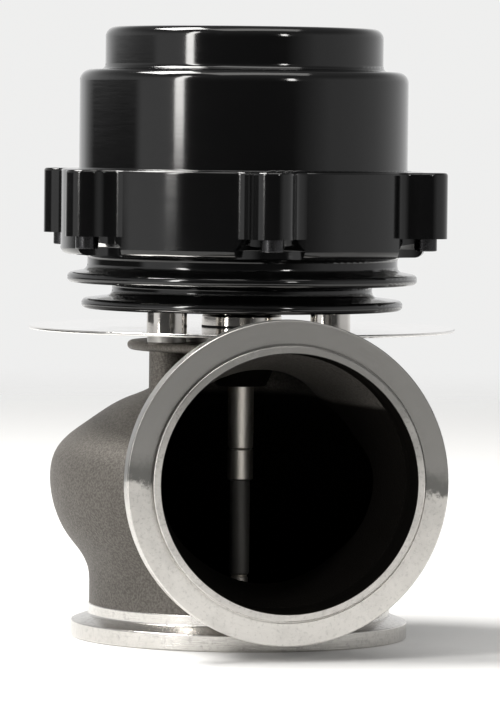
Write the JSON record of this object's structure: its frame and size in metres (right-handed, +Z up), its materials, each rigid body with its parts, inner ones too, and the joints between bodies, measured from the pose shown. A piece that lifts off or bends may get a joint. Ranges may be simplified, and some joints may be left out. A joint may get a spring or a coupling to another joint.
{
  "type": "turbo wastegate",
  "caption": "External exhaust wastegate: poppet valve in a flanged casting, lifted against nested springs by a diaphragm actuator with cooling fins, standoffs and a heat shield.",
  "frame": {"origin": "centre of the inlet flange's face, on the valve axis", "axes": "+Z up the valve axis towards the cap, -Y out of the outlet"},
  "size_m": [0.1042, 0.1171, 0.1486],
  "materials": {
    "cast_stainless": "bead-blasted stainless casting",
    "turned_stainless": "turned stainless rims, welded to the casting",
    "ground_steel": "hardened and ground",
    "guide_bronze": "turned bronze",
    "polished_stainless": "turned and polished",
    "shield_stainless": "polished sheet",
    "gasket": "pressed mica sheet",
    "seal_rubber": "moulded fluoroelastomer",
    "diaphragm_rubber": "fabric-reinforced silicone",
    "spring_steel": "shot-peened spring wire",
    "screw_steel": "bright stainless fastener",
    "black_anodised": "turned billet aluminium, gloss black anodised",
    "valve_steel": "ground stem, heat-stained neck",
    "bare_aluminium": "turned"
  },
  "bodies": {
    "wastegate_body": {"valve_body": "cast_stainless", "inlet_flange": "turned_stainless", "outlet_flange": "turned_stainless", "valve_seat": "ground_steel", "stem_guide": "guide_bronze", "guide_column": "polished_stainless", "column_gasket": "gasket", "column_o_ring": "seal_rubber", "stem_seal": "seal_rubber", "seal_snap_ring": "spring_steel", "heat_shield": "shield_stainless", "standoff_left": "polished_stainless", "standoff_right": "polished_stainless", "standoff_rear": "polished_stainless", "standoff_bolts": "screw_steel", "actuator_housing": "black_anodised", "diaphragm": "diaphragm_rubber", "spring_outer": "spring_steel", "spring_inner": "spring_steel", "cap": "black_anodised", "cap_screws": "screw_steel", "port_plug": "screw_steel"},
    "valve_group": {"valve": "valve_steel", "diaphragm_retainer": "bare_aluminium", "piston": "bare_aluminium", "stem_washer": "screw_steel", "stem_nut": "screw_steel"}
  },
  "joints": [
    {"name": "valve_lift", "type": "slide", "parent": "wastegate_body", "child": "valve_group", "axis": [0, 0, 1], "range_m": [0, 0.016], "stiffness_N_per_m": 9000, "deforming": ["spring_outer", "spring_inner", "diaphragm"]}
  ]
}
